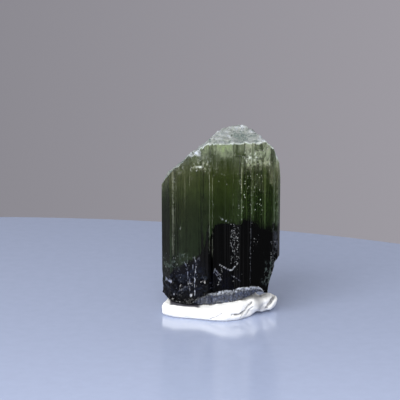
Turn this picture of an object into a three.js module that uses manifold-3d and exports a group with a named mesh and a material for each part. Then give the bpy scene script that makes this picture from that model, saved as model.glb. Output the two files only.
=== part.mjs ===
// A green tourmaline crystal, black at its foot, standing on a pressed pad of white mounting putty.
// Millimetres, +Z up. The crystal's long axis is vertical and its broad striated front faces -Y.
// The origin is on the surface that the pad stands on, under the middle of the whole object.
import * as THREE from "three";
import { mergeVertices } from "three/addons/utils/BufferGeometryUtils.js";
import Module from "manifold-3d";

const wasm = await Module();
wasm.setup();

// Driving dimensions.
const PAD_THICKNESS = 1.9; // a pea of putty pressed flat
const SEAT_GAP = 0.05; // between the crystal's foot and the putty
const FOOT_Z = PAD_THICKNESS + SEAT_GAP;
const STOCK_TOP_Z = 27; // the uncut prism runs past every termination face
const RIB_PITCH = 0.62; // mean width of one growth rib on the prism faces
const RIB_DEPTH = 0.07; // depth of the groove between two ribs
const CUTTER_SIZE = 40; // larger than the crystal, so a box cutter acts as a half-space

// Corners of the prism's cross-section, anticlockwise from above, starting at the sharp left edge:
// a broad front made of three stepped panels, and two sides that run back to a blunt rear edge.
const SECTION = [
  [-8.1, 0.9],
  [-6.95, -1.45],
  [-6.6, -1.55],
  [-6.3, -1.95],
  [-4.2, -2.85],
  [-1.75, -3.6],
  [-1.55, -3.95],
  [-1.25, -3.75],
  [-1.05, -4.1],
  [1.6, -4.35],
  [1.75, -4.2],
  [2.7, -4.4],
  [4.1, -4.45],
  [4.25, -4.15],
  [7.1, -3.35],
  [7.45, -2.55],
  [7.75, -2.35],
  [8.1, -0.6],
  [7.9, 1.1],
  [7.1, 2.3],
  [5.4, 4.7],
  [5.0, 4.75],
  [3.6, 6.6],
  [2.4, 7.1],
  [1.1, 6.85],
  [-1.6, 5.7],
  [-1.9, 5.3],
  [-5.0, 4.1],
  [-7.3, 2.6],
];

// Flat cuts, each [a point on the face, the face's outward normal].
const FLAT_CUTS = {
  topFace: [[0.5, -4.2, 24.7], [-0.02, -0.09, 1]],
  topLeftFall: [[2.3, 7.0, 25.62], [-0.34, 0.1, 1]],
  leftShoulder: [[-2.6, -3.0, 24.3], [-0.818, 0.1625, 1]],
  leftShoulderCorner: [[-7.3, 1.0, 19.85], [-1.75, 0.05, 1]],
  rightShoulder: [[6.2, -1.0, 24.5], [0.9, 0.1, 1]],
  rightShoulderCorner: [[7.15, -1.0, 23.45], [2.0, 0.2, 1]],
  rightShoulderEdge: [[7.95, -1.0, 21.9], [7.0, 0.5, 1]],
  rearTop: [[2.6, 6.5, 25.75], [0.25, 1.5, 1]],
  rightRearTop: [[5.0, 2.9, 25.35], [0.8, 0.3, 1]],
  foot: [[0, 0, FOOT_Z], [0, 0, -1]],
  footRise: [[-2.0, 0, FOOT_Z], [0.16, 0, -1]],
  footRightRise: [[3.8, 0, 3.4], [0.386, 0, -1]],
  leftHeel: [[-6.9, 0, 2.25], [-1, -0.1, -1.7]],
  rearHeel: [[1.5, 6.2, 2.6], [0, 1, -0.7]],
};

// Concave breaks, each an ellipsoid that is cut away: [centre, radii, turn about X, Y and Z in degrees].
const SHELL_CUTS = {
  frontHeelBreakLeft: [[0.2, -5.85, 1.5], [4.6, 2.9, 3.2], [0, -9, -10]],
  frontHeelBreakRight: [[3.9, -6.05, 2.2], [3.6, 2.9, 2.95], [0, -9, 8]],
  leftToeFlake: [[-6.1, -3.9, 2.0], [1.7, 1.5, 1.7], [0, 20, -25]],
  leftEdgeSpall: [[-9.6, 0.2, 3.5], [1.9, 2.8, 2.3], [0, 0, 12]],
  rightEdgeSpall: [[9.35, -0.5, 3.2], [3.05, 9.0, 5.4], [0, 0, 0]],
  rightNotch: [[8.55, -1.7, 7.3], [1.3, 2.6, 0.9], [0, 25, 0]],
  rearSpall: [[4.4, 7.6, 5.2], [2.2, 1.6, 3.1], [0, 0, -30]],
  lipFlakeLeft: [[-2.7, -4.3, 25.1], [1.35, 1.2, 1.3], [0, 0, 15]],
  lipFlakeMiddle: [[2.6, -4.9, 25.55], [0.95, 1.25, 1.15], [0, 0, 0]],
  lipFlakeRight: [[5.4, -5.0, 25.4], [1.5, 1.2, 1.5], [0, 0, -15]],
  shoulderPit: [[-5.6, -1.4, 22.6], [0.75, 1.3, 0.75], [0, 45, 0]],
  topHollow: [[-0.6, -0.4, 27.0], [2.6, 2.4, 2.1], [0, 0, 20]],
};

// Square-sided growth steps in the front, just under the lip: [lowest corner, highest corner].
const STEP_CUTS = {
  lipRecess: [[1.78, -6, 23.1], [3.15, -4.12, 27]],
  lipLedgeRight: [[4.6, -6, 23.7], [5.7, -3.82, 27]],
  lipLedgeLeft: [[-3.9, -6, 22.9], [-2.9, -2.98, 27]],
};

// Outline of the putty pad seen from above, anticlockwise from its left end.
const PAD_OUTLINE = [
  [-8.05, 0.6],
  [-8.0, -2.05],
  [-6.5, -3.35],
  [-3.6, -4.1],
  [-1.4, -4.95],
  [0.7, -5.3],
  [2.6, -4.55],
  [4.35, -2.8],
  [5.1, -0.9],
  [5.3, 1.8],
  [4.4, 4.3],
  [0.6, 5.5],
  [-4.2, 5.0],
  [-7.3, 3.4],
];
const PAD_EDGE_RADIUS = 0.4;
const PAD_OUTLINE_STEPS = 4; // points on the outline between two control points, over the whole curve
const LOBE = { centre: [6.3, 1.35, 1.1], radii: [1.62, 2.3, 1.25], turn: [0, 0, -22] }; // the folded-over end
const LOBE_NECK = { centre: [4.9, 1.1, 0.9], radii: [1.9, 2.3, 1.05], turn: [0, 0, 0] };

// A repeatable number from 0 to 1 for each whole number, so that ribs differ and every build is the same.
const scatter = (n) => {
  const x = Math.sin(n * 127.1 + 311.7) * 43758.5453;
  return x - Math.floor(x);
};

// Any closed three.js geometry as a manifold-3d solid.
function solidOf(geometry) {
  const bare = geometry.clone();
  bare.deleteAttribute("normal");
  bare.deleteAttribute("uv");
  const merged = mergeVertices(bare, 1e-4);
  return new wasm.Manifold(
    new wasm.Mesh({
      numProp: 3,
      vertProperties: new Float32Array(merged.attributes.position.array),
      triVerts: new Uint32Array(merged.index.array),
    }),
  );
}

// A manifold-3d solid as a three.js geometry.
function geometryOf(solid) {
  const mesh = solid.getMesh();
  const geometry = new THREE.BufferGeometry();
  geometry.setAttribute("position", new THREE.BufferAttribute(mesh.vertProperties, 3));
  geometry.setIndex(new THREE.BufferAttribute(mesh.triVerts, 1));
  geometry.computeVertexNormals();
  return geometry;
}

// Moves a geometry that is centred on the origin: turned first, then placed.
function placed(geometry, centre, turnDegrees = [0, 0, 0], radii = [1, 1, 1]) {
  const turn = new THREE.Euler(...turnDegrees.map(THREE.MathUtils.degToRad), "XYZ");
  const matrix = new THREE.Matrix4().compose(
    new THREE.Vector3(...centre),
    new THREE.Quaternion().setFromEuler(turn),
    new THREE.Vector3(...radii),
  );
  return geometry.applyMatrix4(matrix);
}

const ellipsoid = (centre, radii, turn, around = 26, down = 16) =>
  solidOf(placed(new THREE.SphereGeometry(1, around, down), centre, turn, radii));

const block = (low, high) => {
  const size = high.map((v, i) => v - low[i]);
  const middle = high.map((v, i) => (v + low[i]) / 2);
  return solidOf(placed(new THREE.BoxGeometry(...size), middle));
};

// Everything on the outward side of a plane, as one large box.
function halfSpace(point, normal) {
  const outward = new THREE.Vector3(...normal).normalize();
  const turn = new THREE.Quaternion().setFromUnitVectors(new THREE.Vector3(0, 0, 1), outward);
  const centre = new THREE.Vector3(...point).addScaledVector(outward, CUTTER_SIZE / 2);
  const box = new THREE.BoxGeometry(CUTTER_SIZE, CUTTER_SIZE, CUTTER_SIZE);
  return solidOf(box.applyMatrix4(new THREE.Matrix4().compose(centre, turn, new THREE.Vector3(1, 1, 1))));
}

// The cross-section with shallow grooves between growth ribs along each of its sides.
function stripedOutline(corners) {
  const points = [];
  let rib = 0;
  corners.forEach(([ax, ay], i) => {
    const [bx, by] = corners[(i + 1) % corners.length];
    const length = Math.hypot(bx - ax, by - ay);
    const [inX, inY] = [-(by - ay) / length, (bx - ax) / length];
    const ribs = Math.max(1, Math.round(length / RIB_PITCH));
    points.push(new THREE.Vector2(ax, ay));
    for (let k = 1; k < ribs; k++) {
      rib++;
      const along = (k + 0.5 * (scatter(rib) - 0.5)) / ribs;
      const depth = RIB_DEPTH * scatter(rib + 0.5);
      points.push(new THREE.Vector2(ax + along * (bx - ax) + depth * inX, ay + along * (by - ay) + depth * inY));
    }
  });
  return points;
}

function crystal() {
  const section = new THREE.Shape(stripedOutline(SECTION));
  let solid = solidOf(new THREE.ExtrudeGeometry(section, { depth: STOCK_TOP_Z, bevelEnabled: false }));
  for (const [point, normal] of Object.values(FLAT_CUTS)) solid = solid.subtract(halfSpace(point, normal));
  for (const [low, high] of Object.values(STEP_CUTS)) solid = solid.subtract(block(low, high));
  for (const [centre, radii, turn] of Object.values(SHELL_CUTS)) {
    solid = solid.subtract(ellipsoid(centre, radii, turn));
  }
  return solid;
}

function puttyPad() {
  const curve = new THREE.CatmullRomCurve3(
    PAD_OUTLINE.map(([x, y]) => new THREE.Vector3(x, y, 0)),
    true,
  );
  const inset = PAD_OUTLINE.length * PAD_OUTLINE_STEPS;
  const outline = curve.getPoints(inset).slice(0, -1).map((p) => new THREE.Vector2(p.x, p.y));
  const sheet = new THREE.ExtrudeGeometry(new THREE.Shape(outline), {
    depth: PAD_THICKNESS - 2 * PAD_EDGE_RADIUS,
    bevelThickness: PAD_EDGE_RADIUS,
    bevelSize: PAD_EDGE_RADIUS,
    bevelOffset: -PAD_EDGE_RADIUS,
    bevelSegments: 3,
  }).translate(0, 0, PAD_EDGE_RADIUS);
  const floor = halfSpace([0, 0, 0], [0, 0, -1]);
  const foot = block([-9, -9, PAD_THICKNESS], [4.6, 9, 9]);
  return solidOf(sheet)
    .add(ellipsoid(LOBE_NECK.centre, LOBE_NECK.radii, LOBE_NECK.turn))
    .add(ellipsoid(LOBE.centre, LOBE.radii, LOBE.turn))
    .subtract(foot)
    .subtract(floor);
}

function named(name, solid, material) {
  const mesh = new THREE.Mesh(geometryOf(solid), new THREE.MeshStandardMaterial(material));
  mesh.name = name;
  return mesh;
}

const crystalSolid = crystal();
const clearance = crystalSolid; // the putty keeps out of the crystal's foot
const group = new THREE.Group();
group.add(
  named("tourmaline_crystal", crystalSolid, { color: 0x2c3d1d, roughness: 0.12, metalness: 0 }),
  named("putty_pad", puttyPad().subtract(clearance), { color: 0xf2f2ee, roughness: 0.6, metalness: 0 }),
);

// The pad's underside is already at Z = 0, so only X and Y are centred.
const box = new THREE.Box3().setFromObject(group);
group.position.set(-(box.min.x + box.max.x) / 2, -(box.min.y + box.max.y) / 2, 0);

export default group;
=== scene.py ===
"""A green tourmaline crystal, black at its foot, standing on a pressed pad of white mounting putty.

The crystal is a see-through prism with grown ribs, an etched and broken top and shell-shaped chips. The
black zone of its foot is a dark body sealed inside it. The putty is one soft lump with a folded end.

Shapes are worked out in millimetres in the drawing frame of the part (long axis up, broad front towards
-Y) and are brought to metres in the row frame when each piece is finished.
"""

import logging
import math
from dataclasses import dataclass, field
from enum import Enum
from typing import Callable

import bmesh
import bpy
from bmesh.types import BMesh, BMVert
from bpy.types import Material, Node, NodeSocket, NodeTree, Object
from mathutils import Matrix, Vector, noise
from mathutils.bvhtree import BVHTree

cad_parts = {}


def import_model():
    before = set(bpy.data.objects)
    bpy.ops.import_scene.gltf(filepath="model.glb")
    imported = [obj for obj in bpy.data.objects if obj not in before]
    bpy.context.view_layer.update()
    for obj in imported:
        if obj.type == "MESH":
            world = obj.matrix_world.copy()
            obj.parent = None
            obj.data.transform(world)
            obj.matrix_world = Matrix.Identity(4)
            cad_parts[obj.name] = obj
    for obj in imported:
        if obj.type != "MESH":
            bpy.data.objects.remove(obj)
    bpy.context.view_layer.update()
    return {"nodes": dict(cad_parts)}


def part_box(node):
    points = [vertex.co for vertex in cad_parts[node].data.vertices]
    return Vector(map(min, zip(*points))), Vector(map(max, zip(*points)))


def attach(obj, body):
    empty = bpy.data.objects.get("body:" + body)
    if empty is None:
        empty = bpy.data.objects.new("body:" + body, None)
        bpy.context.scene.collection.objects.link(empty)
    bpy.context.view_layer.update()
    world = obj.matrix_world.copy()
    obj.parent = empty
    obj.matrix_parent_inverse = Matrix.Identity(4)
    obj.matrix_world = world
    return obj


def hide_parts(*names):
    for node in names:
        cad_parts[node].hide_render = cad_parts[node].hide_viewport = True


LOG = logging.getLogger("tourmaline")
MM = 0.001
Point2 = tuple[float, float]
Point3 = tuple[float, float, float]
Tint = NodeSocket | tuple[float, float, float, float]
Height = Callable[[float, float], float]


def clamp(value: float, low: float = 0.0, high: float = 1.0) -> float:
    """Returns value kept between low and high."""
    return max(low, min(high, value))


def ease(value: float, start: float, end: float) -> float:
    """Returns 0 at start and 1 at end, with a soft run in and out."""
    t = clamp((value - start) / (end - start))
    return t * t * (3.0 - 2.0 * t)


def fade(value: float, start: float, end: float) -> float:
    """Returns 1 at start and 0 at end, with a soft run in and out."""
    return 1.0 - ease(value, start, end)


def grain(x: float, y: float, z: float, octaves: int = 3) -> float:
    """Returns repeatable smooth noise, about -1 to 1, at a place in millimetres times a frequency."""
    return noise.fractal(Vector((x, y, z)), 1.0, 2.0, octaves, noise_basis="PERLIN_ORIGINAL")


def grain_at(place: Vector, per_mm: float, seed: float, octaves: int = 3) -> float:
    """Returns smooth noise, about -1 to 1, at a place in millimetres."""
    return grain(place.x * per_mm, place.y * per_mm, place.z * per_mm + seed, octaves)


def along_profile(places: tuple[Point2, ...], x: float) -> float:
    """Returns the height of a profile of (x, height) places at x, held level past its ends."""
    if x <= places[0][0]:
        return places[0][1]
    for (ax, az), (bx, bz) in zip(places, places[1:]):
        if x < bx:
            return az + (bz - az) * (x - ax) / (bx - ax)
    return places[-1][1]


def from_hex(code: str) -> tuple[float, float, float, float]:
    """Turns an sRGB hex colour into linear RGBA.

    Args:
        code: six hex digits, with or without a leading hash.

    Returns:
        Linear red, green, blue and an alpha of 1.
    """
    digits = code.lstrip("#")
    channels = [int(digits[i : i + 2], 16) / 255.0 for i in (0, 2, 4)]
    linear = [c / 12.92 if c <= 0.04045 else ((c + 0.055) / 1.055) ** 2.4 for c in channels]
    return (linear[0], linear[1], linear[2], 1.0)


def turned(degrees: float, axis: str, size: int = 3) -> Matrix:
    """Returns the matrix of a turn about an axis, of 3 or 4 rows."""
    return Matrix.Rotation(math.radians(degrees), size, axis)


class Graph:
    """A node tree being built, with short calls for the nodes that are used most."""

    def __init__(self, tree: NodeTree, output: str) -> None:
        """Empties the tree and adds its output node, of the type named."""
        self.tree = tree
        tree.nodes.clear()
        self.output = self.add(output)

    def add(self, kind: str, settings: dict | None = None, **sockets) -> Node:
        """Adds a node with its settings and links.

        Args:
            kind: the node's type name.
            settings: the node's own properties by name.
            **sockets: by input name, with _ for a space, or i0, i1 and so on for an input's number. Each is a
                value or the output socket that is linked to it.

        Returns:
            The new node.
        """
        node = self.tree.nodes.new(kind)
        for name, value in (settings or {}).items():
            setattr(node, name, value)
        for name, value in sockets.items():
            is_number = name[0] == "i" and name[1:].isdigit()
            socket = node.inputs[int(name[1:])] if is_number else node.inputs[name.replace("_", " ")]
            if isinstance(value, NodeSocket):
                self.tree.links.new(value, socket)
            else:
                socket.default_value = value
        return node

    def place(self, along_z: float = 1.0) -> NodeSocket:
        """Returns the place on the piece in millimetres, with its Z times along_z."""
        place = self.add("ShaderNodeTexCoord").outputs["Object"]
        per_metre = (1000.0, 1000.0, 1000.0 * along_z)
        return self.add("ShaderNodeMapping", Vector=place, Scale=per_metre).outputs[0]

    def attribute(self, name: str, output: str = "Fac") -> NodeSocket:
        """Returns what the mesh's points say under a name."""
        return self.add("ShaderNodeAttribute", {"attribute_name": name}).outputs[output]

    def noise(self, place: NodeSocket, scale: float, detail: float, rough: float) -> NodeSocket:
        """Returns smooth noise at a place."""
        sizes = {"Scale": scale, "Detail": detail, "Roughness": rough}
        return self.add("ShaderNodeTexNoise", Vector=place, **sizes).outputs[0]

    def maths(
        self, operation: str, first: NodeSocket | float, second: NodeSocket | float, clamped: bool = False
    ) -> NodeSocket:
        """Returns the result of an operation on two values."""
        settings = {"operation": operation, "use_clamp": clamped}
        return self.add("ShaderNodeMath", settings, i0=first, i1=second).outputs[0]

    def ramp(self, value: NodeSocket, given: Point2, wanted: Point2) -> NodeSocket:
        """Returns a value taken from the given range to the wanted one, held at its ends."""
        ends = {"From_Min": given[0], "From_Max": given[1], "To_Min": wanted[0], "To_Max": wanted[1]}
        return self.add("ShaderNodeMapRange", Value=value, **ends).outputs[0]

    def mix(self, share: NodeSocket | float, first: Tint, second: Tint, blend: str = "MIX") -> NodeSocket:
        """Returns two colours mixed, by the share of the second."""
        settings = {"data_type": "RGBA", "blend_type": blend}
        return self.add("ShaderNodeMix", settings, i0=share, i6=first, i7=second).outputs[2]

    def bump(self, height: NodeSocket, strength: float, reach_mm: float, **sockets) -> NodeSocket:
        """Returns the normal of a bumpy surface."""
        bump = self.add("ShaderNodeBump", Height=height, Strength=strength, Distance=reach_mm * MM, **sockets)
        return bump.outputs[0]

    def finish(self, shader: Node, socket: str = "Surface") -> None:
        """Links a shader to the tree's output."""
        self.tree.links.new(shader.outputs[0], self.output.inputs[socket])


def new_material(name: str) -> tuple[Material, Graph]:
    """Returns an empty node material and its graph."""
    material = bpy.data.materials.new(name)
    material.use_nodes = True
    return material, Graph(material.node_tree, "ShaderNodeOutputMaterial")


def add_object(name: str, data: bpy.types.ID) -> Object:
    """Returns a new object that shows the data, in the scene."""
    made = bpy.data.objects.new(name, data)
    bpy.context.scene.collection.objects.link(made)
    return made


def add_mesh_object(name: str, mesh: BMesh, material: Material | None = None) -> Object:
    """Turns a mesh into an object in the scene.

    Args:
        name: the object's name.
        mesh: the mesh; it is used up.
        material: its finish, if it has one.

    Returns:
        The object.
    """
    data = bpy.data.meshes.new(name)
    mesh.to_mesh(data)
    mesh.free()
    if material is not None:
        data.materials.append(material)
    return add_object(name, data)


@dataclass(frozen=True)
class Placement:
    """Where the drawing frame lies in the row frame."""

    shift_x: float
    shift_y: float

    @classmethod
    def from_frame(cls, left_edge: float, rear_edge: float) -> "Placement":
        """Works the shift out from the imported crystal's box.

        Args:
            left_edge: the crystal's lowest X in the drawing frame, in millimetres.
            rear_edge: the crystal's highest Y in the drawing frame, in millimetres.

        Returns:
            The placement.
        """
        low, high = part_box("tourmaline_crystal")
        return cls(low[0] / MM - left_edge, high[1] / MM - rear_edge)

    def matrix(self) -> Matrix:
        """Returns the matrix from drawing millimetres to row metres."""
        return Matrix.Scale(MM, 4) @ Matrix.Translation((self.shift_x, self.shift_y, 0.0))

    def point(self, x: float, y: float, z: float) -> Vector:
        """Returns a drawing point as a row point in metres."""
        return self.matrix() @ Vector((x, y, z))


@dataclass(frozen=True)
class Cut:
    """A flat face of the crystal: a point on it and its outward normal."""

    point: Point3
    normal: Point3

    def height(self, x: float, y: float) -> float:
        """Returns the face's height over (x, y)."""
        run = self.normal[0] * (x - self.point[0]) + self.normal[1] * (y - self.point[1])
        return self.point[2] - run / self.normal[2]


class Bloom(Enum):
    """What whitened stone looks like, by how it was whitened; some kinds are painted light, as noted."""

    ETCHED = "#74828B"  # the frosted, dissolved top
    ETCH_HOLLOW = "#445A4F"  # glassier hollows between the etch hills
    ETCH_RIDGE = "#DADFE8"  # crushed crests between them, whitened further as painted highlights
    LIP = "#E2EAE0"  # the crushed rim of the top, whitened further as a painted edge highlight
    FRESH = "#D8DDEA"  # a clean white break
    VEILED = "#8CA558"  # pale green, many fine cracks close under the face
    RIB = "#A7AE92"  # growth edge, pale as a painted highlight
    STREAK = "#7B8550"  # faint olive streak
    GLINT = "#F1F5F4"  # bright specks
    HEEL = "#6A769A"  # blue-grey broken heel
    HEEL_RIM = "#F2F7FF"  # crushed rim of the heel, brightened further as a painted highlight
    HOLLOW = "#20252E"  # glassy dark pits in a break, and painted shadow along the heel's foot
    BRUISE_AND_GLINT = "#BEC6DE"  # bruises on the black, and painted glints on it
    SMEAR = "#6F7588"  # dull smears on the black
    PAINTED_SHEEN = "#3045B4"  # painted reflection: a bluish sheen on the black
    FRINGE = "#5E776C"  # grey-green fringe where green turns black


Blooms = list[tuple[float, Bloom]]  # strength and kind of each whitening at a place


class Ground(Enum):
    """The clear stone's own tint at its faces, by growth zone; it deepens downwards."""

    CROWN = "#ECF4D2"
    OLIVE = "#F6F6C6"
    BOTTLE = "#D3DCAE"
    DEEP = "#C3D4BA"
    BLACK = "#101219"


class Side(Enum):
    """Which side of the crystal a point is on."""

    TOP = "top"
    FOOT = "foot"
    FRONT = "front"
    REAR = "rear"


@dataclass(frozen=True)
class Shell:
    """A shell-shaped break: an ellipsoid that the stone has come away from."""

    centre: Point3
    radii: Point3
    tilt: float = 0.0  # degrees about Y
    yaw: float = 0.0  # degrees about Z
    frost_and_painted_light: float = 0.55  # how whitened the broken face is
    bloom: Bloom = Bloom.BRUISE_AND_GLINT
    rim: Bloom | None = None  # crushed stone along the break's border
    ripple: float = 0.012  # height of the shell ripples
    level: bool = False  # the stone is taken off straight along X, so the break keeps the faces beside it

    def carve(self, place: Vector, grow: float = 0.0) -> tuple[Vector, float]:
        """Pushes a point that lies in the break out to the broken face.

        Args:
            place: a point on the stone's surface.
            grow: how much larger the break is taken to be.

        Returns:
            The point and how deep in the break it was, from 0 at its border to 1.
        """
        turn = turned(self.tilt, "Y") @ turned(self.yaw, "Z")
        local = turn.transposed() @ (place - Vector(self.centre))
        radii = Vector(self.radii) + Vector((grow, grow, grow))
        unit = Vector((local.x / radii.x, local.y / radii.y, local.z / radii.z))
        reach = unit.length
        if reach >= 1.0 or reach < 1e-6:
            return place, 0.0
        wave = self.ripple * math.sin(local.z * 9.0 + local.x * 2.0) / max(radii)
        swell = 1.0 + wave * min(1.0, (1.0 - reach) * 12.0)
        if self.level:
            unit.x = math.copysign(math.sqrt(1.0 - unit.y * unit.y - unit.z * unit.z), unit.x) * swell
        else:
            unit *= swell / reach
        moved = turn @ Vector((unit.x * radii.x, unit.y * radii.y, unit.z * radii.z)) + Vector(self.centre)
        return moved, min(1.0, (1.0 - reach) * 7.0)

    def blooms(self, place: Vector, depth: float) -> Blooms:
        """Lists what whitens the broken face at a place.

        Args:
            place: where on the broken face.
            depth: how deep in the break, as carve() gives it.

        Returns:
            Strength and kind of each.
        """
        uneven = clamp(0.8 + 0.7 * grain_at(place, 1.8, 70.0, 4))
        found = [(self.frost_and_painted_light * min(1.0, depth * 3.0) * uneven, self.bloom)]
        if self.rim is not None:
            ragged = depth + 0.35 * grain_at(place, 1.6, 33.0)
            crushed = fade(ragged, 0.3, 0.65) * ease(depth, 0.0, 0.03)
            found.append((0.95 * crushed, self.rim))
            pitted = ease(grain_at(place, 2.6, 12.0), 0.25, 0.5)
            found.append((1.2 * self.frost_and_painted_light * pitted * (1.0 - crushed) * min(1.0, depth * 3.0), Bloom.HOLLOW))
        return found


@dataclass(frozen=True)
class Heel:
    """The broken heel: the front's lower edge is knocked off below a rim that rises to the right."""

    rim: tuple[Point2, ...] = (
        *((-4.3, 1.7), (-3.7, 2.15), (-3.0, 2.72), (-2.4, 3.1), (-1.7, 3.42), (-0.8, 3.74), (0.4, 4.08)),
        *((1.7, 4.12), (2.3, 4.4), (3.3, 4.6), (4.7, 4.66), (5.2, 4.55), (5.6, 4.25), (5.85, 3.9)),
        (6.0, 3.45),
    )
    setback: float = 0.72  # how far the foot's edge stands back
    reach: float = 2.4  # how far in the foot is moved to make room

    def below_rim(self, place: Vector) -> float:
        """Returns how far a point of the front is under the rim."""
        ragged = 0.12 * grain(place.x * 1.1, 3.0, 0.0) + 0.05 * grain(place.x * 3.4, 7.0, 0.0)
        return along_profile(self.rim, place.x) + ragged - place.z

    def inset(self, place: Vector, inward: float, foot: float) -> float:
        """Finds how far in the break moves a point.

        Args:
            place: a point of the front or the foot.
            inward: its distance in from the outline.
            foot: the foot's height there.

        Returns:
            The distance in millimetres.
        """
        under = self.below_rim(place)
        beside = not self.rim[0][0] < place.x < self.rim[-1][0]
        if under <= 0.0 or inward > self.reach or beside or place.y > 0.0:
            return 0.0
        share = clamp(under / max(0.3, under + place.z - foot))
        hollow = 0.16 * ease(under, 0.0, 0.12)
        pits = 0.06 * grain(place.x * 2.2, place.z * 2.2, 13.0, 4) * ease(under, 0.05, 0.3)
        return (self.setback * share + hollow + pits) * (1.0 - inward / self.reach)

    def blooms(self, place: Vector, above_foot: float) -> Blooms:
        """Lists the break's marks: crushed rim with painted highlight, dull blue-grey with pits below,
        painted shadow by the foot.

        Args:
            place: where on the break.
            above_foot: how far over the foot's edge.

        Returns:
            Strength and kind of each.
        """
        under = self.below_rim(place)
        if under <= -0.2 or place.y > 0.0:
            return []
        wide = 0.18 + 0.32 * ease(place.x, -2.2, 0.2) * fade(place.x, 4.8, 5.8)
        wide += 0.3 * grain(place.x * 1.3, 1.0, 5.0)
        crushed = fade(under, 0.4 * wide, 0.1 + 1.2 * wide) * ease(under, -0.2, -0.08)
        crushed *= 0.3 + 0.7 * ease(place.x, -2.6, -0.8)
        rough = grain(place.x * 3.0, place.z * 3.0, 15.0, 4)
        inside = (1.0 - crushed) * ease(under, -0.05, 0.1)
        fine = grain(place.x * 6.0, place.z * 6.0, 19.0, 2)
        found = [((0.5 + 0.4 * rough + 0.5 * fine) * inside, Bloom.HEEL)]
        # painted shadow: darker along the foot's edge, in the gap over the putty
        found.append((0.9 * fade(above_foot, 0.12, 0.34) * inside, Bloom.HOLLOW))
        # the rim: crushed stone, brightened as a painted highlight
        found.append((crushed * clamp(0.75 + 0.8 * rough + 0.9 * fine), Bloom.HEEL_RIM))
        found.append((ease(-rough - 0.5 * fine, 0.02, 0.3) * inside, Bloom.HOLLOW))
        return found


@dataclass(frozen=True)
class Step:
    """A square-sided growth step let into the front: the front is set back to depth_y inside it."""

    low_x: float
    high_x: float
    low_z: float
    high_z: float
    depth_y: float

    def carve(self, place: Vector) -> Vector:
        """Returns a point of the front set back to the step's floor."""
        inside = self.low_x < place.x < self.high_x and self.low_z < place.z < self.high_z
        if inside and place.y < self.depth_y and place.y > -6.0:
            return Vector((place.x, self.depth_y, place.z))
        return place


@dataclass(frozen=True)
class GrowthLine:
    """A pale line along one growth edge of a face, mostly a painted highlight of the edge."""

    across: float
    width: float
    low_z: float
    high_z: float
    strength: float
    broken: float = 0.5  # 0 is a whole line, 1 a row of specks
    bloom: Bloom = Bloom.RIB

    def nearness(self, across: float, z: float) -> float:
        """Returns the line's strength at a place on the face."""
        beside = abs(across - self.across) > 0.1 + 1.2 * self.width
        if beside or not self.low_z - 0.6 < z < self.high_z + 0.6:
            return 0.0
        wander = self.across + 0.05 * grain(z * 0.35, self.across, 2.0)
        side = fade(abs(across - wander), 0.35 * self.width, self.width)
        if side <= 0.0:
            return 0.0
        ends = ease(z, self.low_z - 0.5, self.low_z + 0.5) * fade(z, self.high_z - 0.6, self.high_z + 0.6)
        slow = 0.5 + 1.1 * grain(z * 0.4, self.across * 3.0, 4.0)
        specks = 0.5 + 1.9 * grain(z * 2.3, self.across * 3.0, 6.0)
        gaps = clamp(1.0 - self.broken + self.broken * (0.4 * slow + 0.6 * specks), 0.0, 1.3)
        return self.strength * side * ends * gaps


@dataclass(frozen=True)
class Scratch:
    """A thin bright scratch or crack on the front, as a run of (x, z) places."""

    path: tuple[Point2, ...]
    width: float = 0.1
    strength: float = 0.8
    bloom: Bloom = Bloom.BRUISE_AND_GLINT
    broken: float = 1.3  # 0 is a whole line

    def nearness(self, across: float, z: float) -> float:
        """Returns the scratch's strength on it, falling to 0 beside it."""
        x = across + 0.12 * grain(across * 0.9, z * 1.6, 43.0)
        best = 9.0
        for (ax, az), (bx, bz) in zip(self.path, self.path[1:]):
            beside = x < min(ax, bx) - 0.4 or x > max(ax, bx) + 0.4
            if beside or z < min(az, bz) - 0.4 or z > max(az, bz) + 0.4:
                continue
            dx, dz = bx - ax, bz - az
            t = clamp(((x - ax) * dx + (z - az) * dz) / (dx * dx + dz * dz))
            best = min(best, math.hypot(x - ax - t * dx, z - az - t * dz))
        if best > 1.6 * self.width:
            return 0.0
        gaps = clamp(0.85 + self.broken * grain(x * 3.2, z * 3.2, 41.0), 0.0, 1.0)
        return self.strength * gaps * fade(best, 0.3 * self.width, (0.7 + 0.8 * gaps) * self.width)


@dataclass(frozen=True)
class Patch:
    """A patch of whitened, speckled or veiled stone on a face."""

    across: float
    z: float
    half_width: float
    half_height: float
    strength: float
    bloom: Bloom
    speckle: float = 1.5  # specks per millimetre
    contrast: float = 0.8  # 0 is an even patch
    fill: float = 0.5  # share of the patch that is whitened
    ragged: float = 0.35  # how far the patch's edge strays
    soft: float = 0.3  # how gently it fades at its edge

    def nearness(self, across: float, z: float) -> float:
        """Returns the patch's strength at a place on the face."""
        out = max(abs(across - self.across) / self.half_width, abs(z - self.z) / self.half_height)
        if out > 1.9:
            return 0.0
        out += self.ragged * grain(across * 1.3, z * 1.3, self.across + 51.0)
        inside = fade(out, 1.0 - self.soft, 1.1)
        specks = grain(across * self.speckle, z * self.speckle * 0.7, self.across + 53.0, 4)
        return self.strength * inside * clamp(self.fill + self.contrast * specks, 0.0, 1.3)


@dataclass(frozen=True)
class EtchFacet:
    """A small leaning facet of the dissolved top, as it is at one place."""

    rise: float  # about -1 to 1
    crest: float  # 1 on the crest to its neighbour
    cloud: float  # how frosted this facet is, 0 to 1


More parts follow.
